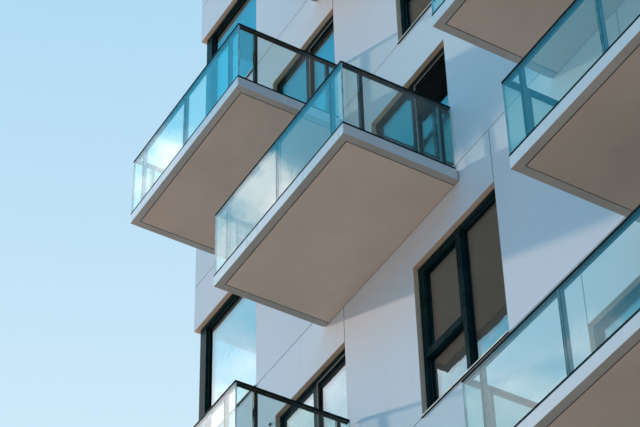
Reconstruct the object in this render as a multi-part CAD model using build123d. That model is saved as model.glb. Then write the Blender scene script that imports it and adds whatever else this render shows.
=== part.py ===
from build123d import *
import os
from dataclasses import dataclass

# Apartment block: a hollow concrete shell clad in white panels, with storey-high windows,
# staggered cantilevered balconies and glass guards. All sizes are in millimetres.
# The origin is the centre of the footprint at ground level; the front faces -Y.

# Overall form
WIDTH = 15330
DEPTH = 14400
UPPER_STOREYS = 8
STOREY = 3100
GROUND_STOREY = 4350
PARAPET_HEIGHT = 1000
FLOOR_THICKNESS = 220
ROOF_THICKNESS = 260
GROUND_SLAB_THICKNESS = 150

# Outer wall: cladding panels hung on a concrete wall, with open joints between panels
PANEL_THICKNESS = 70
WALL_THICKNESS = 180
PANEL_JOINT = 15

# Coping on the parapet
COPING_THICKNESS = 40
COPING_OVERHANG = 30
COPING_JOINT = 4

# Openings, measured from the wall's left end as seen from outside
OPENING_HEIGHT = 2250
WINDOW_WIDTH = 1736
DOOR_WIDTH = 1736
CORNER_WINDOW_WIDTH = 1833
FRONT_WINDOW_START = {"odd": 5630, "even": 12640}
SIDE_WINDOW_START = {"odd": 5200, "even": 8600}
BACK_WINDOW_STARTS = {"odd": (2900, 9700), "even": (4300, 11100)}

# Window and door frames
FRAME_DEPTH = 90
FRAME_FACE = 65
GLASS_SETBACK = 55
GLASS_UNIT = 24
CORNER_POST = 110
SASH_FACE = 75
SASH_DEPTH = 38
SASH_SEAT = 10
SASH_TRACK_GAP = 1
SILL_PROJECTION = 25

# Entrance on the ground storey
ENTRANCE_WIDTH = 3600
ENTRANCE_HEIGHT = 2900
ENTRANCE_TRANSOM = 2250
ENTRANCE_BAR = 90
DOOR_LEAF_CLEARANCE = 6
LEAF_FACE = 90
HANDLE_BAR = 32
HANDLE_LENGTH = 900
HANDLE_STANDOFF = 60
HANDLE_ARM_INSET = 80
GROUND_SILL = 750
GROUND_WINDOW_STARTS = (1700, 12000)

# Balconies
BALCONY_LENGTH = 3110
BALCONY_DEPTH = 1615
BALCONY_STEP = 145
BALCONY_THICKNESS = 162
BALCONY_STARTS = {"a": 1076, "b": 3608, "c": 8615, "d": 9702}
BALCONY_ROWS = {"a": "odd", "b": "even", "c": "even", "d": "odd"}
DOOR_ENDS = {"a": "right", "b": "right", "c": "left", "d": "left"}
DOOR_END_OFFSETS = {"a": 122, "b": 90, "c": 35, "d": 110}
DOOR_JOINTS = {"a": "right", "b": "none", "c": "left", "d": "left"}

# Folded trim round the balcony's edge and the soffit board inside it
TRIM_SHEET = 8
TRIM_RETURN = 100
TRIM_WALL_GAP = 30
SOFFIT_GROOVE = 13
SOFFIT_WALL_GAP = 10

# Glass guard
GUARD_HEIGHT = 1064
RAIL_WIDTH = 75
RAIL_THICKNESS = 30
RAIL_MITRE_GAP = 1
GUARD_WALL_GAP = 46
GUARD_GLASS = 16
ANGLE_SHEET = 5
ANGLE_LIP = 30
POST_SIZE = 50
POST_CORNER_OFFSET = 290
POST_WALL_OFFSET = 190
GLASS_JOINT = 10
GLASS_CORNER_GAP = 2

CUT_PAST = 1  # how far a cut runs past a face, so that it leaves no skin


@dataclass
class Opening:
    """A window or door hole in a wall, in the wall's own left-to-right and up coordinates."""

    kind: str
    left: float
    right: float
    joint: str = "right"  # the jamb that the vertical panel joint runs on from
    bottom: float = 0
    top: float = 0


def row_of(storey):
    return "even" if storey % 2 == 0 else "odd"


def floor_level(storey):
    """Finished floor of an upper storey; one past the last is the roof."""
    return GROUND_STOREY + (storey - 1) * STOREY


def deck_level(storey):
    return floor_level(storey) - BALCONY_STEP


STOREYS = range(1, UPPER_STOREYS + 1)
ROOF_LEVEL = floor_level(UPPER_STOREYS + 1)
PARAPET_TOP = ROOF_LEVEL + PARAPET_HEIGHT
SKIN = PANEL_THICKNESS + WALL_THICKNESS

# Each wall is drawn as seen from outside and then turned to its side of the block
SIDES = {
    "front": (WIDTH, Location((-WIDTH / 2, -DEPTH / 2, 0), (0, 0, 0))),
    "right": (DEPTH, Location((WIDTH / 2, -DEPTH / 2, 0), (0, 0, 90))),
    "back": (WIDTH, Location((WIDTH / 2, DEPTH / 2, 0), (0, 0, 180))),
    "left": (DEPTH, Location((-WIDTH / 2, DEPTH / 2, 0), (0, 0, 270))),
}


def rectangle(x0, x1, z0, z1):
    return Pos((x0 + x1) / 2, (z0 + z1) / 2) * Rectangle(x1 - x0, z1 - z0)


def plate(outline, front, thickness):
    """An outline drawn in elevation, extruded inwards from a depth behind the wall's face."""
    elevation = Plane(origin=(0, front, 0), x_dir=(1, 0, 0), z_dir=(0, -1, 0))
    return extrude(elevation * outline, amount=-thickness)


def layer(outline, bottom, thickness):
    """An outline drawn in plan, extruded upwards."""
    return extrude(Plane.XY.offset(bottom) * outline, amount=thickness)


def write(name, solids):
    """Writes one node. Several solids of a node don't touch one another."""
    export_step(Compound(children=list(solids)), f"parts/{name}.step")


def placed(side, solids):
    return [SIDES[side][1] * solid for solid in solids]


# Openings of each wall
def balcony_door(column):
    """A door stands near one end of its balcony."""
    start = BALCONY_STARTS[column] + DOOR_END_OFFSETS[column]
    if DOOR_ENDS[column] == "right":
        start = BALCONY_STARTS[column] + BALCONY_LENGTH - DOOR_END_OFFSETS[column] - DOOR_WIDTH
    return Opening("door", start, start + DOOR_WIDTH, DOOR_JOINTS[column])


def front_openings(row):
    start = FRONT_WINDOW_START[row]
    found = [Opening("window", start, start + WINDOW_WIDTH)]
    found += [balcony_door(column) for column in BALCONY_ROWS if BALCONY_ROWS[column] == row]
    if row == "even":
        found.append(Opening("corner", 0, CORNER_WINDOW_WIDTH))
    else:
        found.append(Opening("corner", WIDTH - CORNER_WINDOW_WIDTH, WIDTH, "left"))
    return found


def right_openings(row):
    """The odd rows have the other half of the front's right corner window."""
    start = SIDE_WINDOW_START[row]
    found = [Opening("window", start, start + WINDOW_WIDTH)]
    if row == "odd":
        found.append(Opening("corner", 0, CORNER_WINDOW_WIDTH))
    return found


def left_openings(row):
    """The right wall's openings mirrored, in the other row."""
    other = "odd" if row == "even" else "even"
    return [
        Opening(hole.kind, DEPTH - hole.right, DEPTH - hole.left, "left")
        for hole in right_openings(other)
    ]


def back_openings(row):
    return [
        Opening("window", start, start + WINDOW_WIDTH) for start in BACK_WINDOW_STARTS[row]
    ]


ROW_OPENINGS = {
    "front": front_openings,
    "right": right_openings,
    "back": back_openings,
    "left": left_openings,
}


def openings(side, storey):
    """Openings of one upper storey. Each stands on the floor level."""
    found = ROW_OPENINGS[side](row_of(storey))
    for opening in found:
        opening.bottom = floor_level(storey)
        opening.top = opening.bottom + OPENING_HEIGHT
    return found


def ground_openings(side):
    """The ground storey has an entrance between two windows, on the front only."""
    if side != "front":
        return []
    left = (WIDTH - ENTRANCE_WIDTH) / 2
    top = GROUND_SLAB_THICKNESS + ENTRANCE_HEIGHT
    found = [
        Opening("entrance", left, left + ENTRANCE_WIDTH, "none", GROUND_SLAB_THICKNESS, top)
    ]
    for start in GROUND_WINDOW_STARTS:
        head = GROUND_SILL + OPENING_HEIGHT
        found.append(Opening("window", start, start + WINDOW_WIDTH, "right", GROUND_SILL, head))
    return found


def all_openings(side):
    upper = [opening for storey in STOREYS for opening in openings(side, storey)]
    return ground_openings(side) + upper


# Concrete shell
def concrete_wall(side):
    """One wall with every opening cut through it. The front and back run past the sides."""
    length = SIDES[side][0]
    inset = PANEL_THICKNESS if side in ("front", "back") else SKIN
    outline = rectangle(inset, length - inset, 0, PARAPET_TOP)
    for opening in all_openings(side):
        outline -= rectangle(opening.left, opening.right, opening.bottom, opening.top)
    return plate(outline, PANEL_THICKNESS, WALL_THICKNESS)


def inside_walls():
    return Rectangle(WIDTH - 2 * SKIN, DEPTH - 2 * SKIN)


def floor_slabs():
    return [
        layer(inside_walls(), floor_level(storey) - FLOOR_THICKNESS, FLOOR_THICKNESS)
        for storey in STOREYS
    ]


# Cladding
def panel_band(side, bottom, top, holes):
    """The panels of one storey. A joint runs on from one jamb of an opening, up to the next."""
    length = SIDES[side][0]
    inset = 0 if side in ("front", "back") else PANEL_THICKNESS
    outline = rectangle(inset, length - inset, bottom, top)
    for hole in holes:
        outline -= rectangle(hole.left, hole.right, hole.bottom - PANEL_JOINT, hole.top)
        if hole.joint == "right":
            outline -= rectangle(hole.right - PANEL_JOINT, hole.right, bottom, top)
        if hole.joint == "left":
            outline -= rectangle(hole.left, hole.left + PANEL_JOINT, bottom, top)
    if side == "front":
        outline -= [balcony_root(*place) for place in balcony_places()]
    return plate(outline, 0, PANEL_THICKNESS).solids()


def balcony_root(column, storey):
    """Where a balcony slab passes through the cladding to the concrete wall."""
    start = BALCONY_STARTS[column]
    top = deck_level(storey)
    return rectangle(
        start + TRIM_SHEET,
        start + BALCONY_LENGTH - TRIM_SHEET,
        top - BALCONY_THICKNESS + TRIM_SHEET,
        top,
    )


def cladding(side):
    bands = panel_band(side, 0, GROUND_STOREY - PANEL_JOINT, ground_openings(side))
    for storey in STOREYS:
        bottom = floor_level(storey)
        bands += panel_band(side, bottom, bottom + STOREY - PANEL_JOINT, openings(side, storey))
    bands += panel_band(side, ROOF_LEVEL, PARAPET_TOP, [])
    return bands


def coping():
    """Four mitred lengths that lie on the parapet and overhang it on both sides."""
    outer_x = WIDTH / 2 + COPING_OVERHANG
    outer_y = DEPTH / 2 + COPING_OVERHANG
    width = SKIN + 2 * COPING_OVERHANG
    lengths = []
    for half, reach, turn in (
        (outer_x, outer_y, 0),
        (outer_y, outer_x, 90),
        (outer_x, outer_y, 180),
        (outer_y, outer_x, 270),
    ):
        end = half - COPING_JOINT
        outline = Polygon(
            (-end, -reach),
            (end, -reach),
            (end - width, width - reach),
            (width - end, width - reach),
            align=None,
        )
        lengths.append(Rot(0, 0, turn) * layer(outline, PARAPET_TOP, COPING_THICKNESS))
    return lengths


# Windows and doors
def ring(face, left, right, bottom, top):
    """Outline of a square-cut frame whose bars are one face width wide."""
    return rectangle(left, right, bottom, top) - rectangle(
        left + face, right - face, bottom + face, top - face
    )


def opening_frame(left, right, opening):
    """A square-cut frame that fills an opening, flush with the concrete wall's face."""
    outline = ring(FRAME_FACE, left, right, opening.bottom, opening.top)
    return plate(outline, PANEL_THICKNESS, FRAME_DEPTH)


def sealed_unit(left, right, opening):
    """One sheet of glass that fills a frame."""
    outline = rectangle(
        left + FRAME_FACE,
        right - FRAME_FACE,
        opening.bottom + FRAME_FACE,
        opening.top - FRAME_FACE,
    )
    return plate(outline, PANEL_THICKNESS + GLASS_SETBACK, GLASS_UNIT)


def sliding_door(opening):
    """An outer frame with two sashes, the left one on the outer track."""
    frame = opening_frame(opening.left, opening.right, opening)
    middle = (opening.left + opening.right) / 2
    low = opening.bottom + FRAME_FACE
    high = opening.top - FRAME_FACE
    sashes, panes = [], []
    for left, right, track in (
        (opening.left + FRAME_FACE, middle + SASH_FACE / 2, 0),
        (middle - SASH_FACE / 2, opening.right - FRAME_FACE, 1),
    ):
        front = PANEL_THICKNESS + SASH_SEAT + track * (SASH_DEPTH + SASH_TRACK_GAP)
        sashes.append(plate(ring(SASH_FACE, left, right, low, high), front, SASH_DEPTH))
        light = rectangle(
            left + SASH_FACE, right - SASH_FACE, low + SASH_FACE, high - SASH_FACE
        )
        panes.append(plate(light, front + (SASH_DEPTH - GLASS_UNIT) / 2, GLASS_UNIT))
    return frame, sashes, panes


def corner_window(side, opening):
    """One wall's half of a corner window: a frame and its glass, up to the corner post."""
    length = SIDES[side][0]
    corner = PANEL_THICKNESS + CORNER_POST
    left = max(opening.left, corner)
    right = min(opening.right, length - corner)
    return opening_frame(left, right, opening), sealed_unit(left, right, opening)


def corner_post(storey):
    """A square post set behind the cladding at the corner that is glazed in this row."""
    x = WIDTH / 2 - PANEL_THICKNESS - CORNER_POST / 2
    y = -DEPTH / 2 + PANEL_THICKNESS + CORNER_POST / 2
    if row_of(storey) == "even":
        x = -x
    section = Pos(x, y) * Rectangle(CORNER_POST, CORNER_POST)
    return layer(section, floor_level(storey), OPENING_HEIGHT)


def sill(opening):
    """A flat sill that fills the panel joint under an opening and stands proud of the wall."""
    outline = rectangle(
        opening.left, opening.right, -SILL_PROJECTION, PANEL_THICKNESS
    )
    return layer(outline, opening.bottom - PANEL_JOINT, PANEL_JOINT)


def corner_sill(storey):
    """One sill folded round the glazed corner."""
    reach = CORNER_WINDOW_WIDTH
    outline = rectangle(-SILL_PROJECTION, reach, -SILL_PROJECTION, reach)
    outline -= rectangle(PANEL_THICKNESS, reach + CUT_PAST, PANEL_THICKNESS, reach + CUT_PAST)
    flat = layer(outline, floor_level(storey) - PANEL_JOINT, PANEL_JOINT)
    if row_of(storey) == "even":
        return Pos(-WIDTH / 2, -DEPTH / 2, 0) * flat
    return Pos(WIDTH / 2, -DEPTH / 2, 0) * (Rot(0, 0, 90) * flat)


# Entrance
def entrance_lights(opening):
    """Left and right edge of the two side lights and of the double door between them."""
    quarter = (opening.right - opening.left - 2 * FRAME_FACE) / 4
    first = opening.left + FRAME_FACE
    last = opening.right - FRAME_FACE
    return (
        (first, first + quarter - ENTRANCE_BAR / 2),
        (first + quarter + ENTRANCE_BAR / 2, last - quarter - ENTRANCE_BAR / 2),
        (last - quarter + ENTRANCE_BAR / 2, last),
    )


def entrance_frame(opening):
    outline = rectangle(opening.left, opening.right, opening.bottom, opening.top)
    head = opening.bottom + ENTRANCE_TRANSOM
    for index, (left, right) in enumerate(entrance_lights(opening)):
        foot = opening.bottom if index == 1 else opening.bottom + FRAME_FACE
        outline -= rectangle(left, right, foot, head)
    outline -= rectangle(
        opening.left + FRAME_FACE,
        opening.right - FRAME_FACE,
        head + ENTRANCE_BAR,
        opening.top - FRAME_FACE,
    )
    return plate(outline, PANEL_THICKNESS, FRAME_DEPTH)


def entrance_doors(opening):
    """Two door leaves, their glass and their pull handles."""
    left, right = entrance_lights(opening)[1]
    low = opening.bottom + DOOR_LEAF_CLEARANCE
    high = opening.bottom + ENTRANCE_TRANSOM - DOOR_LEAF_CLEARANCE
    middle = (left + right) / 2
    front = PANEL_THICKNESS + SASH_SEAT
    leaves, panes, handles = [], [], []
    gap = DOOR_LEAF_CLEARANCE / 2
    for x0, x1, grip in (
        (left, middle - gap, middle - gap - LEAF_FACE / 2),
        (middle + gap, right, middle + gap + LEAF_FACE / 2),
    ):
        leaves.append(plate(ring(LEAF_FACE, x0, x1, low, high), front, SASH_DEPTH))
        light = rectangle(x0 + LEAF_FACE, x1 - LEAF_FACE, low + LEAF_FACE, high - LEAF_FACE)
        panes.append(plate(light, front + (SASH_DEPTH - GLASS_UNIT) / 2, GLASS_UNIT))
        handles.append(pull_handle(grip, (low + high) / 2, front))
    return leaves, panes, handles


def pull_handle(x, z, face):
    """A square bar held off the door leaf by two arms. Drawn from the side."""
    half = HANDLE_LENGTH / 2
    outline = rectangle(face - HANDLE_STANDOFF - HANDLE_BAR, face - HANDLE_STANDOFF, -half, half)
    for end in (-1, 1):
        middle = end * (half - HANDLE_ARM_INSET)
        outline += rectangle(
            face - HANDLE_STANDOFF, face, middle - HANDLE_BAR / 2, middle + HANDLE_BAR / 2
        )
    profile = Plane(origin=(x, 0, z), x_dir=(0, 1, 0), z_dir=(1, 0, 0))
    return extrude(profile * outline, amount=HANDLE_BAR / 2, both=True)


def entrance_glass(opening):
    lights = entrance_lights(opening)
    head = opening.bottom + ENTRANCE_TRANSOM
    front = PANEL_THICKNESS + (FRAME_DEPTH - GLASS_UNIT) / 2
    panes = [
        plate(rectangle(left, right, opening.bottom + FRAME_FACE, head), front, GLASS_UNIT)
        for left, right in (lights[0], lights[2])
    ]
    over = rectangle(
        opening.left + FRAME_FACE,
        opening.right - FRAME_FACE,
        head + ENTRANCE_BAR,
        opening.top - FRAME_FACE,
    )
    panes.append(plate(over, front, GLASS_UNIT))
    return panes


# Balconies. Each is drawn with x along the wall from its left end, y = 0 on the wall's
# face, negative y outwards, and z = 0 on the deck.
def balcony_plan(inset, wall_gap):
    return rectangle(
        inset, BALCONY_LENGTH - inset, inset - BALCONY_DEPTH, -wall_gap
    )


def balcony_slab():
    """A cantilever that runs through the cladding to the concrete wall."""
    thickness = BALCONY_THICKNESS - TRIM_SHEET
    return layer(balcony_plan(TRIM_SHEET, -PANEL_THICKNESS), -thickness, thickness)


def edge_trim():
    """Sheet folded over the slab's edge, with a return under it, on the three free sides."""
    trim = layer(balcony_plan(0, TRIM_WALL_GAP), -BALCONY_THICKNESS, BALCONY_THICKNESS)
    core = balcony_plan(TRIM_SHEET, -CUT_PAST)
    trim -= layer(core, TRIM_SHEET - BALCONY_THICKNESS, BALCONY_THICKNESS)
    return trim - layer(
        balcony_plan(TRIM_RETURN, -CUT_PAST), -BALCONY_THICKNESS - CUT_PAST, TRIM_SHEET + 2 * CUT_PAST
    )


def soffit_board():
    inset = TRIM_RETURN + SOFFIT_GROOVE
    return layer(balcony_plan(inset, SOFFIT_WALL_GAP), -BALCONY_THICKNESS, TRIM_SHEET)


def bottom_angle():
    """The angle that the glass stands in, round the three free sides of the deck."""
    lip = balcony_plan(0, GUARD_WALL_GAP) - balcony_plan(ANGLE_SHEET, -CUT_PAST)
    base = balcony_plan(0, GUARD_WALL_GAP)
    base -= balcony_plan(ANGLE_SHEET + GUARD_GLASS, -CUT_PAST)
    return layer(base, 0, ANGLE_SHEET) + layer(lip, 0, ANGLE_LIP)


GLASS_OUTER = ANGLE_SHEET
GLASS_INNER = ANGLE_SHEET + GUARD_GLASS
GLASS_TOP = GUARD_HEIGHT - RAIL_THICKNESS


def guard_glass():
    """Two front panes that meet at the middle post, and one pane on each end."""
    middle = BALCONY_LENGTH / 2
    front = GLASS_OUTER - BALCONY_DEPTH
    back = GLASS_INNER - BALCONY_DEPTH
    spans = [
        (GLASS_OUTER, middle - GLASS_JOINT / 2, front, back),
        (middle + GLASS_JOINT / 2, BALCONY_LENGTH - GLASS_OUTER, front, back),
    ]
    for left in (GLASS_OUTER, BALCONY_LENGTH - GLASS_INNER):
        spans.append(
            (left, left + GUARD_GLASS, back + GLASS_CORNER_GAP, -GUARD_WALL_GAP)
        )
    height = GLASS_TOP - ANGLE_SHEET
    return [layer(rectangle(*span), ANGLE_SHEET, height) for span in spans]


def post_places():
    """Centres of the posts, which stand against the inner face of the glass."""
    inset = GLASS_INNER + POST_SIZE / 2
    front = inset - BALCONY_DEPTH
    far = BALCONY_LENGTH - POST_CORNER_OFFSET
    places = [(POST_CORNER_OFFSET, front), (BALCONY_LENGTH / 2, front), (far, front)]
    for x in (inset, BALCONY_LENGTH - inset):
        places.append((x, POST_CORNER_OFFSET - BALCONY_DEPTH))
        places.append((x, -POST_WALL_OFFSET))
    return places


def guard_posts():
    return [
        layer(Pos(x, y) * Rectangle(POST_SIZE, POST_SIZE), 0, GLASS_TOP)
        for x, y in post_places()
    ]


def hand_rails():
    """Front rail and two end rails, mitred at the corners, on top of the glass and posts."""
    gap = RAIL_MITRE_GAP
    front = Polygon(
        (0, -BALCONY_DEPTH),
        (BALCONY_LENGTH, -BALCONY_DEPTH),
        (BALCONY_LENGTH - RAIL_WIDTH, RAIL_WIDTH - BALCONY_DEPTH),
        (RAIL_WIDTH, RAIL_WIDTH - BALCONY_DEPTH),
        align=None,
    )
    end = Polygon(
        (0, gap - BALCONY_DEPTH),
        (RAIL_WIDTH, RAIL_WIDTH + gap - BALCONY_DEPTH),
        (RAIL_WIDTH, -GUARD_WALL_GAP),
        (0, -GUARD_WALL_GAP),
        align=None,
    )
    left = layer(end, GLASS_TOP, RAIL_THICKNESS)
    right = mirror(left, Plane.YZ.offset(BALCONY_LENGTH / 2))
    return [layer(front, GLASS_TOP, RAIL_THICKNESS), left, right]


def balcony_places():
    """Column and storey of every balcony."""
    return [
        (column, storey)
        for column in BALCONY_STARTS
        for storey in STOREYS
        if row_of(storey) == BALCONY_ROWS[column]
    ]


def on_every_balcony(solids):
    places = [
        Location((BALCONY_STARTS[column] - WIDTH / 2, -DEPTH / 2, deck_level(storey)))
        for column, storey in balcony_places()
    ]
    return [place * solid for place in places for solid in solids]


def write_shell():
    for side in SIDES:
        write(f"{side}_wall", placed(side, [concrete_wall(side)]))
        write(f"{side}_cladding", placed(side, cladding(side)))
    write("floor_slabs", floor_slabs())
    write("roof_slab", [layer(inside_walls(), ROOF_LEVEL - ROOF_THICKNESS, ROOF_THICKNESS)])
    write("ground_slab", [layer(inside_walls(), 0, GROUND_SLAB_THICKNESS)])
    write("parapet_coping", coping())


def write_windows():
    sills, corner_frames, corner_panes = [], [], []
    for side in SIDES:
        windows = [o for o in all_openings(side) if o.kind == "window"]
        frames = placed(side, [opening_frame(o.left, o.right, o) for o in windows])
        panes = placed(side, [sealed_unit(o.left, o.right, o) for o in windows])
        write(f"{side}_window_frames", frames)
        write(f"{side}_window_glass", panes)
        sills += placed(side, [sill(opening) for opening in windows])
        for opening in all_openings(side):
            if opening.kind == "corner":
                frame, pane = corner_window(side, opening)
                corner_frames += placed(side, [frame])
                corner_panes += placed(side, [pane])
    write("window_sills", sills)
    write("corner_window_frames", corner_frames)
    write("corner_window_glass", corner_panes)
    write("corner_window_posts", [corner_post(storey) for storey in STOREYS])
    write("corner_window_sills", [corner_sill(storey) for storey in STOREYS])


def write_balcony_doors():
    doors = [o for o in all_openings("front") if o.kind == "door"]
    frames, sashes, panes = [], [], []
    for opening in doors:
        frame, pair, glass = sliding_door(opening)
        frames.append(frame)
        sashes += pair
        panes += glass
    write("balcony_door_frames", placed("front", frames))
    write("balcony_door_sashes", placed("front", sashes))
    write("balcony_door_glass", placed("front", panes))
    write("balcony_door_sills", placed("front", [sill(opening) for opening in doors]))


def write_entrance():
    opening = next(o for o in ground_openings("front") if o.kind == "entrance")
    leaves, panes, handles = entrance_doors(opening)
    write("entrance_frame", placed("front", [entrance_frame(opening)]))
    write("entrance_doors", placed("front", leaves))
    write("entrance_glass", placed("front", panes + entrance_glass(opening)))
    write("entrance_handles", placed("front", handles))


def write_balconies():
    write("balcony_slabs", on_every_balcony([balcony_slab()]))
    write("balcony_edge_trims", on_every_balcony([edge_trim()]))
    write("balcony_soffit_boards", on_every_balcony([soffit_board()]))
    write("guard_glass_angles", on_every_balcony([bottom_angle()]))
    write("guard_glass", on_every_balcony(guard_glass()))
    write("guard_posts", on_every_balcony(guard_posts()))
    write("guard_rails", on_every_balcony(hand_rails()))


os.makedirs("parts", exist_ok=True)
write_shell()
write_windows()
write_balcony_doors()
write_entrance()
write_balconies()
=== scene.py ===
import math

import bmesh
import bpy
from mathutils import Matrix, Vector


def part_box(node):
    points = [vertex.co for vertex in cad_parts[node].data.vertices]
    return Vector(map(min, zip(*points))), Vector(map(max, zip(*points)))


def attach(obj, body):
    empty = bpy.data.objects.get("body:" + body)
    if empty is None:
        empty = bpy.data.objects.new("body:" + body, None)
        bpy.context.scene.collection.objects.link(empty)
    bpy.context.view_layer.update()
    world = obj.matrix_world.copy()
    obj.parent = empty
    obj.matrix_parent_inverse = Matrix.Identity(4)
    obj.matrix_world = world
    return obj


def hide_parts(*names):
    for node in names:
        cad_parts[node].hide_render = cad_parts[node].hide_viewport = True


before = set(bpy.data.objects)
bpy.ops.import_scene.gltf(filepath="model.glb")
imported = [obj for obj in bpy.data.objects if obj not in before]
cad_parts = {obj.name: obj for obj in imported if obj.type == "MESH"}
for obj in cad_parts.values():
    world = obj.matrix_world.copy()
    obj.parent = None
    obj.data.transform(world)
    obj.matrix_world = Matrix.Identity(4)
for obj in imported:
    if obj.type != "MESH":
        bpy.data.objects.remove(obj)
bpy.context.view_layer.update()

scene = bpy.context.scene
scene.view_settings.view_transform = "Standard"


# Camera. It stands on the ground off the block's front right corner, tilted up at the
# fourth to eighth storeys through a long lens.
CAMERA_PLACE = (14.168, -18.538, 1.561)
CAMERA_TURN, CAMERA_TILT, CAMERA_ROLL = 58.185, 42.932, -1.538
CAMERA_LENS, CAMERA_SENSOR = 123.71, 36.0
CAMERA_FAR = 2000.0

lens = bpy.data.cameras.new("camera")
lens.lens = CAMERA_LENS
lens.sensor_width = CAMERA_SENSOR
lens.clip_end = CAMERA_FAR
camera = bpy.data.objects.new("camera", lens)
camera.matrix_world = (
    Matrix.Translation(CAMERA_PLACE)
    @ Matrix.Rotation(math.radians(CAMERA_TURN), 4, "Z")
    @ Matrix.Rotation(math.radians(90 + CAMERA_TILT), 4, "X")
    @ Matrix.Rotation(math.radians(CAMERA_ROLL), 4, "Z")
)
scene.collection.objects.link(camera)
scene.camera = camera


# Backdrop and light. A soft dome lights the block, cool and strongest from its front, with
# a low warm key from the left. The camera sees a plain pale blue behind the block, and
# polished faces mirror a deeper sky with soft clouds.
class Shade:
    """A shader socket. Sums on it add Math nodes, and node() adds any other node."""

    def __init__(self, tree, socket=None):
        self.tree = tree
        self.socket = socket

    def node(self, kind, settings=None, inputs=None, output=0):
        """Adds a node: its settings first, then the values and links of its sockets."""
        made = self.tree.nodes.new("ShaderNode" + kind)
        for name, value in (settings or {}).items():
            if name == "stops":
                stops = made.color_ramp.elements
                while len(stops) < len(value):
                    stops.new(0.5)
                for stop, (place, colour) in zip(stops, value):
                    stop.position = place
                    stop.color = (*colour, 1)
            else:
                setattr(made, name, value)
        for name, value in (inputs or {}).items():
            if isinstance(value, Shade):
                self.tree.links.new(value.socket, made.inputs[name])
            else:
                made.inputs[name].default_value = value
        return Shade(self.tree, made.outputs[output] if made.outputs else None)

    def maths(self, operation, *others, clamp=False):
        """A Math node that starts with this value."""
        settings = {"operation": operation, "use_clamp": clamp}
        return self.node("Math", settings, dict(enumerate((self, *others))))

    def mix(self, start, end):
        """Start where this value is 0 and end where it is 1, each a colour."""
        start, end = (
            value if isinstance(value, Shade) else (*value, 1) for value in (start, end)
        )
        return self.node("Mix", {"data_type": "RGBA"}, {0: self, 6: start, 7: end}, 2)

    def between(self, low, high):
        """0 below low, 1 above high and smooth in between."""
        settings = {"interpolation_type": "SMOOTHSTEP"}
        return self.node("MapRange", settings, {0: self, 1: low, 2: high})

    def noise(self, scale, detail=2.0, roughness=0.5):
        """Soft mottling. This value is the point that it is read at."""
        sizes = {"Vector": self, "Scale": scale, "Detail": detail, "Roughness": roughness}
        return self.node("TexNoise", {}, sizes)

    def stretched(self, x, y, z):
        """This point with its parts scaled. A small number draws a pattern out."""
        return self.node("Mapping", {}, {"Vector": self, "Scale": (x, y, z)})

    def part(self, axis):
        """One part of this point: X, Y or Z."""
        return self.node("SeparateXYZ", {}, {0: self}, "XYZ".index(axis))

    def __add__(self, other):
        return self.maths("ADD", other)

    def __sub__(self, other):
        return self.maths("SUBTRACT", other)

    def __rsub__(self, other):
        return self.node("Math", {"operation": "SUBTRACT"}, {0: other, 1: self})

    def __mul__(self, other):
        return self.maths("MULTIPLY", other)

    def __pow__(self, other):
        return self.maths("POWER", other)

    __radd__ = __add__
    __rmul__ = __mul__


SKY_STOPS = [
    (0.0, (0.78, 0.89, 0.97)),
    (0.60, (0.62, 0.82, 0.96)),
    (0.76, (0.43, 0.70, 0.90)),
    (1.0, (0.30, 0.56, 0.82)),
]
MIRROR_SKY_LOW, MIRROR_SKY_HIGH = (0.62, 1.36, 1.78), (0.12, 0.74, 1.18)
MIRROR_SKY_LEAN, MIRROR_SKY_RANGE = 0.6, (0.22, 0.36)
CLOUD_WHITE, CLOUD_SHADE = (2.45, 2.50, 2.60), (1.05, 1.52, 1.82)
CLOUD_SCALE, CLOUD_SEED, CLOUD_FLATNESS = 13.0, 10.0, 1.6
CLOUD_DETAIL, CLOUD_ROUGHNESS, CLOUD_PUFFS = 7.0, 0.60, 4.0
BANK_HEIGHT, BANK_LEAN = -0.205, -1.38
BANK_EDGE, BANK_EDGE_RANGE = 9.0, (-0.25, 0.35)
BANK_SHADE, BANK_SHADE_RANGE = 5.0, (-0.1, 0.9)
MIRROR_DARK_TOWARDS, MIRROR_DARK_RANGE = (0.62, 0.386, 0.68), (0.72, 0.94)
MIRROR_DARK = 0.94
DOME_LOW, DOME_HIGH, DOME_RANGE = (0.29, 0.31, 0.34), (0.20, 0.48, 0.72), (-0.05, 0.60)
DOME_FRONT, DOME_LEFT, DOME_BACK = (0.0, 0.90, 1.44), (0.10, 0.12, 0.14), (0.50, 0.52, 0.56)
KEY_TOWARDS, KEY_POWER, KEY_SPREAD = (-3.6, -1.0, 1.7), 4.0, 2.0
KEY_COLOUR = (1.0, 0.73, 0.55)

world = bpy.data.worlds.new("backdrop")
scene.world = world
world.use_nodes = True
world.node_tree.nodes.clear()
sky = Shade(world.node_tree)
direction = sky.node("TexCoord")
height = direction.part("Z")
backdrop = sky.node("ValToRGB", {"stops": SKY_STOPS}, {0: height})

puffs = sky.node(
    "TexNoise",
    {"noise_dimensions": "4D"},
    {
        "Vector": direction.stretched(1.0, 1.0, CLOUD_FLATNESS),
        "W": CLOUD_SEED,
        "Scale": CLOUD_SCALE,
        "Detail": CLOUD_DETAIL,
        "Roughness": CLOUD_ROUGHNESS,
    },
)
puffs = (puffs - 0.5) * CLOUD_PUFFS
bank = direction.part("X") * BANK_LEAN + BANK_HEIGHT - height
clouds = (puffs + bank * BANK_EDGE).between(*BANK_EDGE_RANGE)
white = (puffs + bank * BANK_SHADE).between(*BANK_SHADE_RANGE)
deep = (direction.part("X") * MIRROR_SKY_LEAN + height).between(*MIRROR_SKY_RANGE)
mirrored = clouds.mix(
    deep.mix(MIRROR_SKY_LOW, MIRROR_SKY_HIGH), white.mix(CLOUD_SHADE, CLOUD_WHITE)
)
near_dark = sky.node(
    "VectorMath", {"operation": "DOT_PRODUCT"}, {0: direction, 1: MIRROR_DARK_TOWARDS}, "Value"
)
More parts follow.
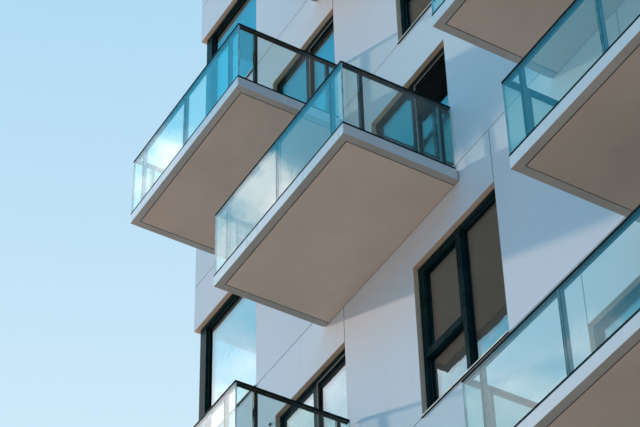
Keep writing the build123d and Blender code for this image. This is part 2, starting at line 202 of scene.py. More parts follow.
mirrored = sky.node(
    "VectorMath",
    {"operation": "SCALE"},
    {"Vector": mirrored, "Scale": 1 - near_dark.between(*MIRROR_DARK_RANGE) * MIRROR_DARK},
)


def facing(axis, sign):
    """How far a direction points to one side of the block, from 0 to 1."""
    return direction.part(axis).maths("MULTIPLY", sign, clamp=True)


def added(start, factor, colour):
    """A colour with a share of another added to it."""
    settings = {"data_type": "RGBA", "blend_type": "ADD"}
    return factor.node("Mix", settings, {0: factor, 6: start, 7: (*colour, 1)}, 2)


up = height.between(*DOME_RANGE)
dome = (facing("Y", -1) * up).mix(up.mix(DOME_LOW, DOME_HIGH), DOME_FRONT)
dome = added(dome, facing("X", -1), DOME_LEFT)
dome = added(dome, facing("Y", 1), DOME_BACK)
seen = sky.node("LightPath", output="Is Camera Ray")
seen = seen + sky.node("LightPath", output="Is Transmission Ray")
glossy = sky.node("LightPath", output="Is Glossy Ray")
light = seen.maths("MINIMUM", 1).mix(glossy.mix(dome, mirrored), backdrop)
sky.node("OutputWorld", {}, {"Surface": sky.node("Background", {}, {"Color": light})})

key = bpy.data.lights.new("soft_key", "SUN")
key.energy = KEY_POWER
key.angle = math.radians(KEY_SPREAD)
key.color = KEY_COLOUR
key_lamp = bpy.data.objects.new("soft_key", key)
key_lamp.rotation_euler = Vector(KEY_TOWARDS).to_track_quat("Z", "Y").to_euler()
key_lamp.visible_glossy = False
scene.collection.objects.link(key_lamp)


# Floor. A plain flat ground just under the block, which looks pale and throws a warm mid
# tone up at the balconies.
FLOOR_SIZE, FLOOR_DROP = 1600.0, 0.002
FLOOR_SEEN, FLOOR_LIT = (0.80, 0.81, 0.82), (0.76, 0.47, 0.33)

shape = bmesh.new()
bmesh.ops.create_grid(shape, x_segments=1, y_segments=1, size=FLOOR_SIZE / 2)
bmesh.ops.translate(shape, verts=shape.verts[:], vec=(0, 0, -FLOOR_DROP))
floor_mesh = bpy.data.meshes.new("floor")
shape.to_mesh(floor_mesh)
shape.free()
floor = bpy.data.objects.new("floor", floor_mesh)
scene.collection.objects.link(floor)


def new_finish(name):
    """An empty material, and the point of the object that its patterns are read at."""
    material = bpy.data.materials.new(name)
    material.use_nodes = True
    material.node_tree.nodes.clear()
    return material, Shade(material.node_tree).node("TexCoord", output="Object")


def surface(colour, roughness, relief=None, relief_height=0.0, **constants):
    """Ends a material in a Principled shader. Relief is a value that the bump reads."""
    inputs = {"Base Color": colour, "Roughness": roughness}
    if relief is not None:
        bump = {"Height": relief, "Distance": relief_height, "Strength": 1.0}
        inputs["Normal"] = colour.node("Bump", {}, bump)
    inputs.update({name.replace("_", " "): value for name, value in constants.items()})
    colour.node("OutputMaterial", {}, {"Surface": colour.node("BsdfPrincipled", {}, inputs)})


floor_finish, point = new_finish("pale_floor")
seen = point.node("LightPath", output="Is Camera Ray")
seen = seen + point.node("LightPath", output="Is Glossy Ray")
seen = seen + point.node("LightPath", output="Is Transmission Ray")
surface(seen.maths("MINIMUM", 1).mix(FLOOR_LIT, FLOOR_SEEN), 0.9)
floor_mesh.materials.append(floor_finish)


# Concrete shell. Walls and floors of grey cast concrete, struck from boarded shutters and
# left bare inside. The walls stand round the ground slab and carry everything else.
SIDES = ("front", "right", "back", "left")
CONCRETE_PALE, CONCRETE_DARK = (0.43, 0.42, 0.40), (0.30, 0.295, 0.285)
SHUTTER_BOARD, SHUTTER_SEAM = 0.6, 0.012
CONCRETE_RELIEF = 0.0015


def paint(node, material):
    """Gives a CAD node its finish."""
    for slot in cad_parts[node].material_slots:
        slot.material = material


concrete, point = new_finish("cast_concrete")
mottle = point.noise(0.9, 5.0, 0.6)
pores = point.noise(38.0, 2.0)
board = (point.part("Z") * (1 / SHUTTER_BOARD)).maths("FRACT")
seam = 1 - board.between(0.0, SHUTTER_SEAM)
tone = (mottle.between(0.3, 0.7) * 0.8 + seam * 0.5).maths("MINIMUM", 1)
surface(
    tone.mix(CONCRETE_PALE, CONCRETE_DARK),
    mottle * 0.15 + 0.78,
    pores - seam * 0.6,
    CONCRETE_RELIEF,
)
walls = [f"{side}_wall" for side in SIDES]
for node in walls + ["floor_slabs", "roof_slab", "ground_slab", "balcony_slabs"]:
    paint(node, concrete)


# Cladding. Smooth panels of white render hung on the concrete, one storey high, with open
# joints between them. Rain leaves faint streaks, and each storey differs a little in tone.
RENDER_WHITE, RENDER_SOILED = (0.580, 0.645, 0.735), (0.490, 0.540, 0.610)
RENDER_RELIEF = 0.0006
GROUND_STOREY, STOREY = 4.35, 3.10

render, point = new_finish("white_render")
storey = ((point.part("Z") - GROUND_STOREY) * (1 / STOREY)).maths("FLOOR")
tint = storey.node("TexWhiteNoise", {"noise_dimensions": "1D"}, {"W": storey})
cloudy = point.noise(0.32, 3.0, 0.5)
streaks = point.stretched(5.0, 5.0, 0.25).noise(1.0, 4.0, 0.6)
soiling = cloudy.between(0.35, 0.75) * 0.35 + streaks.between(0.5, 0.8) * 0.22 + tint * 0.12
grain = point.noise(90.0, 3.0, 0.6)
surface(soiling.mix(RENDER_WHITE, RENDER_SOILED), grain * 0.1 + 0.62, grain, RENDER_RELIEF)
for side in SIDES:
    paint(f"{side}_cladding", render)


# Coping. Four folded lengths of light grey coated sheet, mitred at the corners, that cap
# the parapet and drip clear of both its faces.
COPING_GREY, COPING_DULL = (0.58, 0.61, 0.65), (0.47, 0.50, 0.53)
COPING_FOLD, COPING_RELIEF = 0.004, 0.001
SAME_POINT, FLAT_ANGLE, SHARP_ANGLE = 1e-5, math.radians(1), math.radians(30)


def merged(node):
    """A CAD node's loose triangles, joined up."""
    shape = bmesh.new()
    shape.from_mesh(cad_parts[node].data)
    bmesh.ops.remove_doubles(shape, verts=shape.verts[:], dist=SAME_POINT)
    return shape


def bevel_edges(shape, edges, radius):
    """Rounds edges off."""
    bmesh.ops.bevel(
        shape,
        geom=edges,
        offset=radius,
        segments=2,
        profile=0.5,
        affect="EDGES",
        material=-1,
    )


def piece(name, shape, finish):
    """Makes an object of the block from a finished shape."""
    mesh = bpy.data.meshes.new(name)
    shape.to_mesh(mesh)
    shape.free()
    mesh.materials.append(finish)
    made = bpy.data.objects.new(name, mesh)
    scene.collection.objects.link(made)
    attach(made, "root")
    return made


def eased(node, name, radius, finish):
    """Stands for a CAD node with the same solids, their edges rounded off."""
    shape = merged(node)
    bmesh.ops.dissolve_limit(
        shape, angle_limit=FLAT_ANGLE, verts=shape.verts[:], edges=shape.edges[:]
    )
    sharp = [
        edge
        for edge in shape.edges
        if len(edge.link_faces) == 2 and edge.calc_face_angle() > SHARP_ANGLE
    ]
    bevel_edges(shape, sharp, radius)
    made = piece(name, shape, finish)
    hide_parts(node)
    return made


coping_finish, point = new_finish("coping_coat")
dust = point.noise(1.7, 5.0, 0.6).between(0.35, 0.75)
surface(
    dust.mix(COPING_GREY, COPING_DULL), dust * 0.18 + 0.34, point.noise(3.0, 1.0), COPING_RELIEF
)
eased("parapet_coping", "coping_lengths", COPING_FOLD, coping_finish)


# Window and door frames. Aluminium sections, cut square at the corners and powder coated
# near-black with a green cast, set flush with the concrete behind the cladding.
FRAME_BLACK, FRAME_WORN = (0.003, 0.016, 0.019), (0.008, 0.027, 0.030)
FRAME_ARRIS, FRAME_RELIEF = 0.002, 0.0001

frame_coat, point = new_finish("dark_frame_coat")
wear = point.noise(2.4, 4.0, 0.6).between(0.4, 0.75)
surface(
    wear.mix(FRAME_BLACK, FRAME_WORN),
    wear * 0.12 + 0.26,
    point.noise(420.0, 2.0),
    FRAME_RELIEF,
    Specular_IOR_Level=0.03,
)
for node in [f"{side}_window_frames" for side in SIDES] + [
    "corner_window_frames",
    "corner_window_posts",
    "balcony_door_frames",
    "balcony_door_sashes",
    "entrance_frame",
    "entrance_doors",
]:
    eased(node, f"{node}_eased", FRAME_ARRIS, frame_coat)


# Window bars. A mullion in the middle of each plain window, a transom across the left
# light and a slim opening sash above it, of the same coated aluminium as the frame.
FRAME_FACE = 0.065
BAR_FACE, BAR_PROUD = 0.075, 0.004
TRANSOM_HEIGHT, TRANSOM_FACE = 0.880, 0.072
SASH_FACE, SASH_DEPTH = 0.042, 0.050


def solids_of(node):
    """Lowest and highest corner of each separate solid of a CAD node."""
    shape = merged(node)
    found, waiting = [], set(shape.verts)
    while waiting:
        reached = [waiting.pop()]
        low, high = reached[0].co.copy(), reached[0].co.copy()
        while reached:
            vert = reached.pop()
            low = Vector(map(min, low, vert.co))
            high = Vector(map(max, high, vert.co))
            for edge in vert.link_edges:
                other = edge.other_vert(vert)
                if other in waiting:
                    waiting.remove(other)
                    reached.append(other)
        found.append((low, high))
    shape.free()
    return sorted(
        found, key=lambda box: (round(box[0].z, 2), round(box[0].x, 2), round(box[0].y, 2))
    )


def turn_of(side):
    """Turns what is drawn for the front, facing -Y, to another side of the block."""
    return Matrix.Rotation(math.radians(90 * SIDES.index(side)), 4, "Z")


def drawn_as_front(box, side):
    """A box of one side as it would be if that side were the front."""
    corners = [turn_of(side).inverted() @ corner for corner in box]
    return Vector(map(min, *corners)), Vector(map(max, *corners))


def block(shape, low, high, turn=Matrix.Identity(4)):
    """Adds a block between two corners."""
    low, high = Vector(low), Vector(high)
    place = Matrix.Translation((low + high) / 2) @ Matrix.Diagonal((*(high - low), 1))
    bmesh.ops.create_cube(shape, size=1, matrix=turn @ place)


def ring(shape, low, high, face, turn=Matrix.Identity(4)):
    """Adds a square-cut ring of four bars inside a box that stands in a wall."""
    block(shape, low, (low.x + face, high.y, high.z), turn)
    block(shape, (high.x - face, low.y, low.z), high, turn)
    block(shape, (low.x + face, low.y, low.z), (high.x - face, high.y, low.z + face), turn)
    block(shape, (low.x + face, low.y, high.z - face), (high.x - face, high.y, high.z), turn)


bars = bmesh.new()
for side in SIDES:
    for box in solids_of(f"{side}_window_frames"):
        low, high = drawn_as_front(box, side)
        left = low.x + FRAME_FACE
        middle_left = (low.x + high.x - BAR_FACE) / 2
        middle_right = (low.x + high.x + BAR_FACE) / 2
        back = high.y - BAR_PROUD
        foot, head = low.z + FRAME_FACE, high.z - FRAME_FACE
        transom_foot = low.z + TRANSOM_HEIGHT - TRANSOM_FACE / 2
        transom_head = low.z + TRANSOM_HEIGHT + TRANSOM_FACE / 2
        block(
            bars,
            (middle_left, low.y - BAR_PROUD, foot),
            (middle_right, back, head),
            turn_of(side),
        )
        block(
            bars,
            (left, low.y, transom_foot),
            (middle_left, back, transom_head),
            turn_of(side),
        )
        ring(
            bars,
            Vector((left, low.y + BAR_PROUD, transom_head)),
            Vector((middle_left, low.y + SASH_DEPTH, head)),
            SASH_FACE,
            turn_of(side),
        )
bevel_edges(bars, bars.edges[:], FRAME_ARRIS)
piece("window_bars", bars, frame_coat)


# Reveal linings. Folded tan sheet that closes the cladding's edge over and beside every
# window and balcony door, screwed to the panels.
LINING_SHEET, LINING_INSET, LINING_ARRIS = 0.004, 0.0006, 0.0006
LINING_TAN, LINING_DEEP = (0.62, 0.50, 0.41), (0.53, 0.43, 0.35)
LINING_RELIEF = 0.0003
PANEL_THICKNESS, CORNER_REACH = 0.070, 0.2

lining_finish, point = new_finish("tan_lining")
fade = point.noise(1.3, 3.0).between(0.3, 0.7)
surface(
    fade.mix(LINING_TAN, LINING_DEEP), fade * 0.1 + 0.5, point.noise(160.0, 2.0), LINING_RELIEF
)


def side_of(box):
    """The side of the block that a solid stands in, from the way that it is thin."""
    size = box[1] - box[0]
    if size.y < size.x:
        return "front" if box[0].y < 0 else "back"
    return "right" if box[0].x > 0 else "left"


heads = [(side, box) for side in SIDES for box in solids_of(f"{side}_window_frames")]
heads += [("front", box) for box in solids_of("balcony_door_frames")]
heads += [(side_of(box), box) for box in solids_of("corner_window_frames")]
linings = bmesh.new()
for side, box in heads:
    low, high = drawn_as_front(box, side)
    wall_low, wall_high = drawn_as_front(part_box(f"{side}_cladding"), side)
    left, right = low.x, high.x
    near, far = low.y - PANEL_THICKNESS + LINING_INSET, low.y - LINING_INSET
    foot, under = low.z + LINING_SHEET, high.z - LINING_SHEET
    if left - wall_low.x < CORNER_REACH:
        left = wall_low.x
    else:
        block(
            linings,
            (left + LINING_INSET, near, foot),
            (left + LINING_SHEET, far, under),
            turn_of(side),
        )
    if wall_high.x - right < CORNER_REACH:
        right = wall_high.x
    else:
        block(
            linings,
            (right - LINING_SHEET, near, foot),
            (right - LINING_INSET, far, under),
            turn_of(side),
        )
    block(
        linings,
        (left + LINING_INSET, near, under),
        (right - LINING_INSET, far, high.z - LINING_INSET),
        turn_of(side),
    )
bevel_edges(linings, linings.edges[:], LINING_ARRIS)
piece("reveal_linings", linings, lining_finish)


# Sills. Flat metal that fills the joint under each window and balcony door and stands a
# little proud of the wall, pale on top and on its nosing. Its downward faces are painted
# near-black, as painted shade under the nosing.
SILL_PALE, SILL_GREY, SILL_PAINTED_SHADE = (0.82, 0.78, 0.71), (0.66, 0.64, 0.60), (0.012, 0.010, 0.009)
SILL_RELIEF = 0.0006

sill_finish, point = new_finish("sill_sheet")
up = point.node("NewGeometry", output="Normal").part("Z")
# Painted shade: faces that point down are coloured near-black.
under = 1 - up.between(-0.7, -0.3)
stain = point.noise(2.6, 4.0, 0.6).between(0.35, 0.75)
surface(
    under.mix(stain.mix(SILL_PALE, SILL_GREY), SILL_PAINTED_SHADE),
    stain * 0.2 + 0.35,
    point.noise(4.0, 1.0),
    SILL_RELIEF,
)
for node in ("window_sills", "corner_window_sills", "balcony_door_sills"):
    paint(node, sill_finish)


# Window glass. Sealed double units that mirror the sky strongly at a flat angle and show
# a dark blue-green room when looked at straight.
WINDOW_TINT = (0.55, 0.74, 0.78)


def glass(name, tint, straight, grazing, rise, waviness):
    """Tinted clear glass. Straight is its reflection seen square on. It rises by up to
    rise as the view flattens, earlier where the grazing power is low."""
    material, point = new_finish(name)
    ripple = point.noise(0.8, 1.0) + point.noise(7.0, 2.0) * 0.3
    wave = point.node("Bump", {}, {"Height": ripple, "Distance": waviness})
    slope = point.node("LayerWeight", {}, {"Blend": 0.5}, "Facing")
    mirror = (slope ** grazing) * rise + straight
    clear = point.node("BsdfTransparent", {}, {"Color": (*tint, 1)})
    polish = {"Color": (1, 1, 1, 1), "Roughness": 0.0, "Normal": wave}
    reflection = point.node("BsdfAnisotropic", {}, polish)
    both = point.node("MixShader", {}, {0: mirror, 1: clear, 2: reflection})
    point.node("OutputMaterial", {}, {"Surface": both})
    return material


window_glass = glass(
    "window_glass", WINDOW_TINT, straight=0.03, grazing=2.2, rise=0.76, waviness=0.0012
)
for node in [f"{side}_window_glass" for side in SIDES] + [
    "corner_window_glass",
    "balcony_door_glass",
    "entrance_glass",
]:
    paint(node, window_glass)


# Glazing gaskets. Thin strips of black rubber with square-cut ends, pressed in from
# outside between each pane and its frame.
GASKET_FACE, GASKET_DEPTH = 0.007, 0.006
RUBBER, RUBBER_DUSTY = (0.012, 0.012, 0.012), (0.05, 0.05, 0.048)
RUBBER_RELIEF = 0.0002

rubber_finish, point = new_finish("gasket_rubber")
dust = point.noise(5.0, 3.0).between(0.4, 0.8)
surface(dust.mix(RUBBER, RUBBER_DUSTY), dust * 0.1 + 0.7, point.noise(300.0, 1.0), RUBBER_RELIEF)

gaskets = bmesh.new()
panes = [(side, box) for side in SIDES for box in solids_of(f"{side}_window_glass")]
panes += [("front", box) for box in solids_of("balcony_door_glass")]
panes += [("front", box) for box in solids_of("entrance_glass")]
panes += [(side_of(box), box) for box in solids_of("corner_window_glass")]
for side, box in panes:
    low, high = drawn_as_front(box, side)
    low.y, high.y = low.y - GASKET_DEPTH, low.y
    ring(gaskets, low, high, GASKET_FACE, turn_of(side))
piece("glazing_gaskets", gaskets, rubber_finish)


# Slatted blinds. Black slats hung outside the right leaf of some balcony doors, in the
# recess of the outer track, sloped outwards and let down to different heights.
SLAT_WIDTH, SLAT_PITCH, SLAT_SHEET, SLAT_TILT = 0.056, 0.064, 0.003, 30.0
BLIND_GAP, BLIND_MARGIN = 0.030, 0.014
DROP_OF_DOOR = {2: 1.3, 6: 0.9, 10: 0.62, 14: 0.35}  # doors counted up the block
SLAT_BLACK, SLAT_DUSTY = (0.006, 0.007, 0.008), (0.020, 0.024, 0.027)

slat_finish, point = new_finish("black_slats")
dust = point.noise(3.0, 3.0).between(0.4, 0.8)
surface(dust.mix(SLAT_BLACK, SLAT_DUSTY), dust * 0.1 + 0.4, Specular_IOR_Level=0.12)

blinds = bmesh.new()
leaves = solids_of("balcony_door_glass")
for door, drop in DROP_OF_DOOR.items():
    low, high = leaves[2 * door + 1]
    centre = low.y - BLIND_GAP
    for step in range(int(drop / SLAT_PITCH)):
        z = high.z - (step + 0.5) * SLAT_PITCH
        tilt = (
            Matrix.Translation((0, centre, z))
            @ Matrix.Rotation(math.radians(SLAT_TILT), 4, "X")
            @ Matrix.Translation((0, -centre, -z))
        )
        block(
            blinds,
            (low.x + BLIND_MARGIN, centre - SLAT_WIDTH / 2, z - SLAT_SHEET / 2),
            (high.x, centre + SLAT_WIDTH / 2, z + SLAT_SHEET / 2),
            tilt,
        )
piece("slatted_blinds", blinds, slat_finish)


# Door seals. Pale brush seals along the head of each balcony door's outer track and down
# the edge of its left leaf, which close the gap to the right leaf behind.
SEAL_FACE, SEAL_DEPTH, SEAL_SETBACK = 0.008, 0.016, 0.002
SEAL_PALE, SEAL_GREY = (0.42, 0.39, 0.34), (0.30, 0.28, 0.25)
SEAL_RELIEF = 0.0005

seal_finish, point = new_finish("brush_seal")
pile = point.stretched(60.0, 60.0, 8.0).noise(6.0, 3.0, 0.7)
surface(pile.between(0.3, 0.7).mix(SEAL_PALE, SEAL_GREY), pile * 0.1 + 0.8, pile, SEAL_RELIEF)

seals = bmesh.new()
doors = solids_of("balcony_door_frames")
outer_leaves = solids_of("balcony_door_sashes")[::2]
for (_, frame_high), (low, high) in zip(doors, outer_leaves):
    near, far = low.y + SEAL_SETBACK, low.y + SEAL_SETBACK + SEAL_DEPTH
    left, right = high.x + SEAL_FACE, frame_high.x - FRAME_FACE
    head = frame_high.z - FRAME_FACE
    block(seals, (high.x, near, low.z), (left, far, head))
    block(seals, (left, near, head - SEAL_FACE), (right, far, head))
piece("door_seals", seals, seal_finish)


# Wall vents. A small round air inlet of black plastic on the panel beside each left-hand
# balcony door, with a tapered cap that stands off a short collar.
VENT_BESIDE, VENT_BELOW_HEAD = 0.12, 0.066
VENT_COLLAR, VENT_COLLAR_DEPTH = 0.016, 0.018
VENT_CAP, VENT_CAP_BASE, VENT_CAP_DEPTH = 0.026, 0.009, 0.0108
VENT_TAPER, VENT_SEGMENTS = 0.86, 20
VENT_BLACK, VENT_DUSTY = (0.012, 0.013, 0.015), (0.040, 0.042, 0.044)

vent_finish, point = new_finish("vent_plastic")
dust = point.noise(30.0, 3.0).between(0.4, 0.8)
surface(dust.mix(VENT_BLACK, VENT_DUSTY), dust * 0.15 + 0.35, Specular_IOR_Level=0.3)

vents = bmesh.new()
wall_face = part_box("front_cladding")[0].y
for low, high in doors:
    if low.x > 0:
        continue
    place = Matrix.Translation((low.x - VENT_BESIDE, wall_face, high.z - VENT_BELOW_HEAD))
    outwards = Matrix.Rotation(math.radians(90), 4, "X")
    for radius, base, depth in (
        (VENT_COLLAR, 0.0, VENT_COLLAR_DEPTH),
        (VENT_CAP, VENT_CAP_BASE, VENT_CAP_DEPTH),
    ):
        bmesh.ops.create_cone(
            vents,
            cap_ends=True,
            segments=VENT_SEGMENTS,
            radius1=radius,
            radius2=radius * VENT_TAPER,
            depth=depth,
            matrix=place @ outwards @ Matrix.Translation((0, 0, base + depth / 2)),
        )
piece("wall_vents", vents, vent_finish)


# Entrance pulls. Square brushed steel bars on two arms, bolted through the door leaves, one
# pull on each leaf.
STEEL_PALE, STEEL_DARK = (0.62, 0.62, 0.61), (0.45, 0.45, 0.45)
PULL_ARRIS, STEEL_RELIEF = 0.004, 0.0002

steel, point = new_finish("brushed_steel")
brushed = point.stretched(1.0, 1.0, 60.0).noise(8.0, 3.0, 0.7)
surface(
    brushed.mix(STEEL_PALE, STEEL_DARK),
    brushed * 0.15 + 0.22,
    brushed,
    STEEL_RELIEF,
    Metallic=1.0,
)
eased("entrance_handles", "entrance_pulls", PULL_ARRIS, steel)


# Balcony edge trims. White coated sheet folded round the slab's free edges, with a short
# return under it, and one butt joint on each end. Every face that points down, the return
# among them, takes a darker grey as painted shade.
TRIM_WHITE, TRIM_SOILED = (0.475, 0.525, 0.580), (0.40, 0.44, 0.475)
TRIM_FOLD, TRIM_RELIEF = 0.0025, 0.004
TRIM_JOINT, TRIM_JOINT_WIDTH = -8.44, 0.004
RETURN_PAINTED_SHADE, RETURN_PAINTED_SHADE_DUSTY = (0.37, 0.38, 0.365), (0.31, 0.32, 0.31)
RETURN_RELIEF, FACES_DOWN = 0.002, -0.5

trim_finish, point = new_finish("white_trim_coat")
run = point.stretched(2.0, 2.0, 0.5).noise(1.0, 4.0, 0.6)
offset = point.part("Y") - TRIM_JOINT
joint = 1 - (offset * offset).between(0.0, TRIM_JOINT_WIDTH ** 2)
soiling = (run.between(0.45, 0.8) * 0.12 + joint).maths("MINIMUM", 1)
surface(
    soiling.mix(TRIM_WHITE, TRIM_SOILED),
    run * 0.12 + 0.22,
    point.noise(1.6, 1.0),
    TRIM_RELIEF,
    Coat_Weight=0.3,
)
trims = eased("balcony_edge_trims", "edge_trims", TRIM_FOLD, trim_finish)

painted_shade_return_finish, point = new_finish("trim_return_painted_shade")
dust = point.noise(1.4, 4.0, 0.6).between(0.3, 0.75)
surface(
    dust.mix(RETURN_PAINTED_SHADE, RETURN_PAINTED_SHADE_DUSTY), dust * 0.1 + 0.5, point.noise(1.6, 1.0), RETURN_RELIEF
)
# Painted shade: faces that point down get this darker grey finish.
trims.data.materials.append(painted_shade_return_finish)
for face in trims.data.polygons:
    face.material_index = 1 if face.normal.z < FACES_DOWN else 0


# Soffit boards. Warm grey fibre cement, mottled, screwed up inside the trim with an open
# groove all round. Each balcony's boards are also a step lighter or darker by storey and
# side: painted light, standing for how much warm bounce light reaches them.
BOARD_PALE, BOARD_DARK = (0.63, 0.550, 0.485), (0.36, 0.325, 0.290)
BOARD_RELIEF, BOARD_BELOW_FLOOR = 0.0004, 1.0
PAINTED_LIGHT_BY_STOREY, PAINTED_LIGHT_BY_SIDE, PAINTED_LIGHT_START = 0.46, 0.5, 0.66

soffit_finish, point = new_finish("fibre_cement")
blotch = point.noise(1.1, 5.0, 0.6)
fibre = point.stretched(1.0, 6.0, 1.0).noise(30.0, 3.0, 0.6)
mottling = blotch.between(0.3, 0.75) * 0.7 + fibre * 0.3
storey = (point.part("Z") - GROUND_STOREY + BOARD_BELOW_FLOOR) * (1 / STOREY)
storey = storey.maths("FLOOR")
on_right = point.part("X").between(-0.1, 0.1)
# Painted light: one tone per balcony, lighter where more bounce light falls on it.
painted_light_step = storey * PAINTED_LIGHT_BY_STOREY + on_right * PAINTED_LIGHT_BY_SIDE + PAINTED_LIGHT_START
tone = mottling * 0.35 + (1 - painted_light_step.maths("FRACT")) * 0.65
surface(tone.mix(BOARD_PALE, BOARD_DARK), blotch * 0.12 + 0.6, fibre, BOARD_RELIEF)
paint("balcony_soffit_boards", soffit_finish)


# Groove shade. Black strips on the slab behind the open groove, round the three free
# sides: a dark sheet put there as painted shade, so that the groove reads as a dark line.
GROOVE_SHADE_COVER, GROOVE_SHADE_THICKNESS, GROOVE_SHADE_INSET = 0.0125, 0.0015, 0.0002

# Painted shade: black strips where the groove lies in shadow.
groove_shade = bmesh.new()
for low, high in solids_of("balcony_soffit_boards"):
    left, right, near, far = low.x - GROOVE_SHADE_COVER, high.x + GROOVE_SHADE_COVER, low.y - GROOVE_SHADE_COVER, high.y
    base, top = high.z - GROOVE_SHADE_THICKNESS, high.z - GROOVE_SHADE_INSET
    block(groove_shade, (left, near, base), (low.x - GROOVE_SHADE_INSET, far, top))
    block(groove_shade, (high.x + GROOVE_SHADE_INSET, near, base), (right, far, top))
    block(groove_shade, (low.x - GROOVE_SHADE_INSET, near, base), (high.x + GROOVE_SHADE_INSET, low.y - GROOVE_SHADE_INSET, top))
piece("groove_shade_strips", groove_shade, rubber_finish)


# Balcony tiles. Sand-coloured porcelain tiles on pads, laid inside the line of the posts
# with open joints, so that rain drains between them.
TILE, TILE_GAP, TILE_THICKNESS, TILE_LIFT = 0.59, 0.005, 0.012, 0.006
TILE_BORDER, TILE_WALL_GAP = 0.085, 0.015
TILE_ARRIS, TILE_RELIEF = 0.0015, 0.0006
TILE_SAND, TILE_GREY = (0.52, 0.46, 0.38), (0.42, 0.37, 0.31)

tile_finish, point = new_finish("porcelain_tile")
vein = point.noise(4.5, 6.0, 0.65)
surface(vein.between(0.3, 0.7).mix(TILE_SAND, TILE_GREY), vein * 0.15 + 0.45, vein, TILE_RELIEF)

tiles = bmesh.new()
for low, high in solids_of("balcony_slabs"):
    left, right = low.x + TILE_BORDER, high.x - TILE_BORDER
    near, far = low.y + TILE_BORDER, wall_face - TILE_WALL_GAP
    base, top = high.z + TILE_LIFT, high.z + TILE_LIFT + TILE_THICKNESS
    x = left
    while x < right - TILE_GAP:
        y = far
        while y > near + TILE_GAP:
            block(tiles, (x, max(y - TILE, near), base), (min(x + TILE, right), y, top))
            y -= TILE + TILE_GAP
        x += TILE + TILE_GAP
bevel_edges(tiles, tiles.edges[:], TILE_ARRIS)
piece("balcony_deck_tiles", tiles, tile_finish)


# Guard frame. Flat handrails, square posts and the angle that the glass stands in, all of
# steel coated near-black. The posts are bolted to the slab through small base plates.
RAIL_ARRIS, POST_ARRIS = 0.004, 0.003
GUARD_BLACK, GUARD_WORN = (0.004, 0.010, 0.011), (0.010, 0.018, 0.018)
GUARD_RELIEF = 0.0001


def guard_coat(name, gloss, roughness):
    """The coat of the guard's steel, worn in patches. Gloss is its specular level."""
    material, point = new_finish(name)
    wear = point.noise(3.2, 4.0, 0.6).between(0.4, 0.75)
    surface(
        wear.mix(GUARD_BLACK, GUARD_WORN),
        wear * 0.12 + roughness,
        point.noise(380.0, 2.0),
        GUARD_RELIEF,
        Specular_IOR_Level=gloss,
    )
    return material


rail_coat = guard_coat("rail_coat", gloss=0.02, roughness=0.30)
post_coat = guard_coat("post_coat", gloss=0.42, roughness=0.05)
eased("guard_rails", "hand_rails", RAIL_ARRIS, rail_coat)
eased("guard_posts", "guard_posts_eased", POST_ARRIS, post_coat)
paint("guard_glass_angles", rail_coat)


# Base plates. One steel plate at the foot of each guard post, as wide as the post and over
# twice as long, held to the slab by a hexagon bolt on each side of the post.
PLATE_LENGTH, PLATE_THICKNESS, PLATE_LIFT, PLATE_ARRIS = 0.120, 0.008, 0.0003, 0.0009
BOLT_PLACE, BOLT_RADIUS, BOLT_HEIGHT, BOLT_SIDES = 0.042, 0.008, 0.007, 6
ZINC_PALE, ZINC_DULL = (0.42, 0.43, 0.43), (0.27, 0.28, 0.28)

zinc, point = new_finish("zinc_plated_bolt")
bloom = point.noise(60.0, 3.0)
surface(bloom.mix(ZINC_PALE, ZINC_DULL), bloom * 0.2 + 0.3, Metallic=1.0)

plates, bolts = bmesh.new(), bmesh.new()
decks = solids_of("balcony_slabs")
for low, high in solids_of("guard_posts"):
    deck = next(
        box
        for box in decks
        if box[0].x < low.x < box[1].x and abs(box[1].z - low.z) < PLATE_THICKNESS
    )
    on_front = high.y - deck[0].y < PLATE_LENGTH
    along = Vector((1, 0, 0)) if on_front else Vector((0, 1, 0))
    foot = Vector(((low.x + high.x) / 2, (low.y + high.y) / 2, low.z + PLATE_LIFT))
    spare = along * (PLATE_LENGTH - (high.x - low.x)) / 2
    block(
        plates,
        Vector((low.x, low.y, foot.z)) - spare,
        Vector((high.x, high.y, foot.z + PLATE_THICKNESS)) + spare,
    )
    for step in (-BOLT_PLACE, BOLT_PLACE):
        place = foot + along * step
        place.z += PLATE_THICKNESS + BOLT_HEIGHT / 2
        bmesh.ops.create_cone(
            bolts,
            cap_ends=True,
            segments=BOLT_SIDES,
            radius1=BOLT_RADIUS,
            radius2=BOLT_RADIUS,
            depth=BOLT_HEIGHT,
            matrix=Matrix.Translation(place),
        )
bevel_edges(plates, plates.edges[:], PLATE_ARRIS)
piece("post_base_plates", plates, rail_coat)
piece("post_bolts", bolts, zinc)


# Guard glass. Clear laminated sheets with a blue-green cast and polished edges, which show
# as pale green lines where they end.
GUARD_TINT = (0.84, 0.915, 0.895)
EDGE_PALE, EDGE_GREEN = (0.30, 0.50, 0.54), (0.10, 0.28, 0.32)
PANE_ARRIS, PANE_AREA = 0.0012, 0.5

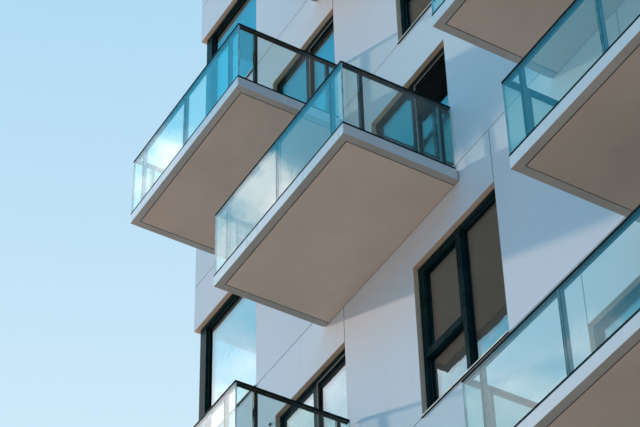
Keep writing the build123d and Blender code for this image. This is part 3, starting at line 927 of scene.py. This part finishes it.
guard_glass = glass(
    "guard_glass", GUARD_TINT, straight=0.010, grazing=3.7, rise=0.95, waviness=0.0008
)
edge_finish, point = new_finish("polished_glass_edge")
polish = point.noise(6.0, 2.0).between(0.3, 0.7)
surface(polish.mix(EDGE_PALE, EDGE_GREEN), polish * 0.1 + 0.08, Coat_Weight=0.5)

panes = eased("guard_glass", "guard_panes", PANE_ARRIS, guard_glass)
panes.data.materials.append(edge_finish)
for face in panes.data.polygons:
    face.material_index = 0 if face.area > PANE_AREA else 1


# Roof. Grey felt laid over the roof slab in strips that lap, and dressed up the inside of
# the parapet.
FELT_GREY, FELT_DARK = (0.24, 0.24, 0.235), (0.15, 0.15, 0.148)
FELT_THICKNESS, FELT_LAP, FELT_STRIP, FELT_INSET = 0.006, 0.08, 1.0, 0.001
FELT_ARRIS, FELT_RELIEF = 0.001, 0.001
UPSTAND_HEIGHT, UPSTAND_ARRIS = 0.45, 0.002

felt_finish, point = new_finish("roof_felt")
patches = point.noise(0.7, 5.0, 0.65).between(0.3, 0.7)
grit = point.noise(150.0, 2.0)
surface(patches.mix(FELT_GREY, FELT_DARK), grit * 0.1 + 0.82, grit, FELT_RELIEF)

felt = bmesh.new()
low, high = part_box("roof_slab")
top = high.z
for strip in range(math.ceil((high.x - low.x) / FELT_STRIP)):
    start = low.x + strip * FELT_STRIP
    end = min(start + FELT_STRIP + FELT_LAP, high.x - FELT_INSET)
    base = top + FELT_THICKNESS * (strip % 2)
    block(
        felt,
        (start + FELT_INSET, low.y + FELT_INSET, base),
        (end, high.y - FELT_INSET, base + FELT_THICKNESS),
    )
bevel_edges(felt, felt.edges[:], FELT_ARRIS)
piece("roof_felt_strips", felt, felt_finish)

upstand = bmesh.new()
for side in SIDES:
    near, far = drawn_as_front(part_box("roof_slab"), side)
    block(
        upstand,
        (near.x + FELT_INSET, near.y + FELT_INSET, top + FELT_THICKNESS),
        (far.x - FELT_INSET, near.y + FELT_THICKNESS * 2, top + UPSTAND_HEIGHT),
        turn_of(side),
    )
bevel_edges(upstand, upstand.edges[:], UPSTAND_ARRIS)
piece("parapet_upstand", upstand, felt_finish)
